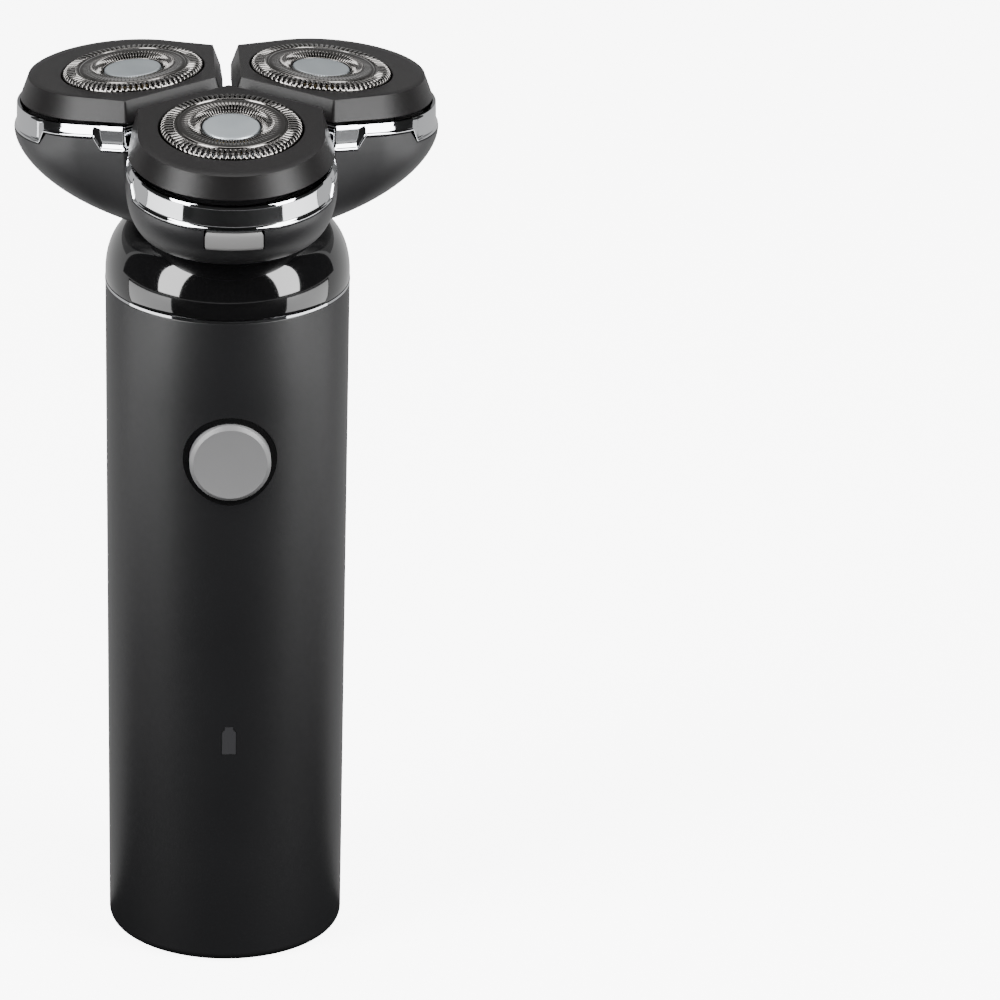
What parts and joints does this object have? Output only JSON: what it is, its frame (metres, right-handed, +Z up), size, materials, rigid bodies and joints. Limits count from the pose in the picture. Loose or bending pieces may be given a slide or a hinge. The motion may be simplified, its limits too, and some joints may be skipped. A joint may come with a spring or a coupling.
{
  "type": "electric shaver",
  "caption": "Cordless rotary shaver: a cylindrical battery handle with a push button and a pull-off head of tilting round cutters that hinges open for cleaning.",
  "frame": {"origin": "centre of the underside, on the surface that the handle stands on", "axes": "+Z up along the handle towards the head; the power button and the release tab face -Y; +X is to the right of someone who faces the button"},
  "size_m": [0.0694, 0.0681, 0.1501],
  "materials": {
    "handle_shell": "soft-touch matt black",
    "base_cap": "matt black",
    "black_rubber": "matt rubber",
    "inner_plastic": "plain moulded plastic",
    "contact": "plated",
    "battery": "shrink sleeve",
    "nickel": "plain",
    "board": "solder mask",
    "motor_steel": "plated steel",
    "magnet": "sintered",
    "armature": "laminations and winding",
    "gear_plastic": "acetal",
    "collar": "piano black",
    "chrome": "mirror chrome",
    "button": "satin",
    "light": "smoked clear",
    "led": "clear",
    "head_shell": "satin black",
    "cap": "fine matt black-brown",
    "foil": "polished and etched steel",
    "hub_disc": "satin pale blue-grey",
    "cutter_steel": "ground steel",
    "cutter_plastic": "moulded",
    "tab": "satin grey"
  },
  "bodies": {
    "handle": {"handle_shell": "handle_shell", "base_cap": "base_cap", "base_seal": "black_rubber", "inlet_housing": "inner_plastic", "inlet_pin_left": "contact", "inlet_pin_right": "contact", "chassis": "inner_plastic", "battery_cell": "battery", "battery_tabs": "nickel", "circuit_board": "board", "power_switch": "nickel", "status_led": "led", "light_guide": "light", "button_bezel": "collar", "motor_can": "motor_steel", "motor_magnets": "magnet", "motor_mount": "inner_plastic", "collar": "collar", "seam_ring": "chrome"},
    "power_button": {"power_button": "button"},
    "motor_rotor": {"motor_rotor": "armature", "drive_coupling": "gear_plastic"},
    "head": {"head_shell": "head_shell", "neck_spigot": "inner_plastic", "neck_seal": "black_rubber", "gear_plate": "inner_plastic", "gear_cover": "inner_plastic", "hinge_pin": "nickel"},
    "input": {"input_dog": "gear_plastic", "sun_gear": "gear_plastic"},
    "release_tab": {"release_tab": "tab"},
    "cutter_frame": {"frame_plate": "inner_plastic", "chrome_band_front": "chrome", "chrome_band_right": "chrome", "chrome_band_left": "chrome"},
    "planet_front": {"planet_front": "gear_plastic"},
    "pod_front": {"cap_front": "cap", "comb_front": "foil", "hub_disc_front": "hub_disc", "carrier_front": "inner_plastic"},
    "cutter_front": {"cutter_front": "cutter_steel", "cutter_hub_front": "cutter_plastic"},
    "planet_right": {"planet_right": "gear_plastic"},
    "pod_right": {"cap_right": "cap", "comb_right": "foil", "hub_disc_right": "hub_disc", "carrier_right": "inner_plastic"},
    "cutter_right": {"cutter_right": "cutter_steel", "cutter_hub_right": "cutter_plastic"},
    "planet_left": {"planet_left": "gear_plastic"},
    "pod_left": {"cap_left": "cap", "comb_left": "foil", "hub_disc_left": "hub_disc", "carrier_left": "inner_plastic"},
    "cutter_left": {"cutter_left": "cutter_steel", "cutter_hub_left": "cutter_plastic"}
  },
  "joints": [
    {"name": "power_press", "type": "slide", "parent": "handle", "child": "power_button", "axis": [0, 1, 0], "range_m": [0, 0.0007], "stiffness_N_per_m": 900, "springref_m": -0.0004},
    {"name": "motor_spin", "type": "hinge", "parent": "handle", "child": "motor_rotor", "pos_m": [0, 0, 0.1], "axis": [0, 0, 1], "continuous": true},
    {"name": "head_pull", "type": "slide", "parent": "handle", "child": "head", "axis": [0, 0, 1], "range_m": [0, 0.03]},
    {"name": "input_spin", "type": "hinge", "parent": "head", "child": "input", "pos_m": [0, 0, 0.13], "axis": [0, 0, 1], "continuous": true},
    {"name": "release_press", "type": "slide", "parent": "head", "child": "release_tab", "axis": [0, 1, 0], "range_m": [0, 0.0007], "stiffness_N_per_m": 600, "springref_m": -0.0004},
    {"name": "frame_open", "type": "hinge", "parent": "head", "child": "cutter_frame", "pos_m": [0, 0.0286, 0.1354], "axis": [-1, 0, 0], "range_deg": [0, 95]},
    {"name": "planet_front_spin", "type": "hinge", "parent": "head", "child": "planet_front", "pos_m": [0, -0.01713, 0.135], "axis": [0, 0, 1], "continuous": true},
    {"name": "planet_right_spin", "type": "hinge", "parent": "head", "child": "planet_right", "pos_m": [0.01483, 0.00856, 0.135], "axis": [0, 0, 1], "continuous": true},
    {"name": "planet_left_spin", "type": "hinge", "parent": "head", "child": "planet_left", "pos_m": [-0.01483, 0.00856, 0.135], "axis": [0, 0, 1], "continuous": true},
    {"name": "pod_front_tilt", "type": "hinge", "parent": "cutter_frame", "child": "pod_front", "pos_m": [0, -0.01713, 0.14213], "axis": [1, 0, 0], "range_deg": [-2.5, 2.5], "stiffness_Nm_per_rad": 2},
    {"name": "pod_right_tilt", "type": "hinge", "parent": "cutter_frame", "child": "pod_right", "pos_m": [0.01483, 0.00856, 0.14213], "axis": [-0.5, 0.866, 0], "range_deg": [-2.5, 2.5], "stiffness_Nm_per_rad": 2},
    {"name": "pod_left_tilt", "type": "hinge", "parent": "cutter_frame", "child": "pod_left", "pos_m": [-0.01483, 0.00856, 0.14213], "axis": [-0.5, -0.866, 0], "range_deg": [-2.5, 2.5], "stiffness_Nm_per_rad": 2},
    {"name": "cutter_front_spin", "type": "hinge", "parent": "pod_front", "child": "cutter_front", "pos_m": [0, -0.01751, 0.14611], "axis": [0, -0.0958, 0.9954], "continuous": true},
    {"name": "cutter_right_spin", "type": "hinge", "parent": "pod_right", "child": "cutter_right", "pos_m": [0.01517, 0.00876, 0.14611], "axis": [0.083, 0.0479, 0.9954], "continuous": true},
    {"name": "cutter_left_spin", "type": "hinge", "parent": "pod_left", "child": "cutter_left", "pos_m": [-0.01517, 0.00876, 0.14611], "axis": [-0.083, 0.0479, 0.9954], "continuous": true}
  ],
  "couplings": [
    {"joint": "input_spin", "follows": "motor_spin", "ratio": 1},
    {"joint": "planet_front_spin", "follows": "motor_spin", "ratio": -0.53571},
    {"joint": "planet_right_spin", "follows": "motor_spin", "ratio": -0.53571},
    {"joint": "planet_left_spin", "follows": "motor_spin", "ratio": -0.53571},
    {"joint": "cutter_front_spin", "follows": "motor_spin", "ratio": -0.53571},
    {"joint": "cutter_right_spin", "follows": "motor_spin", "ratio": -0.53571},
    {"joint": "cutter_left_spin", "follows": "motor_spin", "ratio": -0.53571}
  ]
}
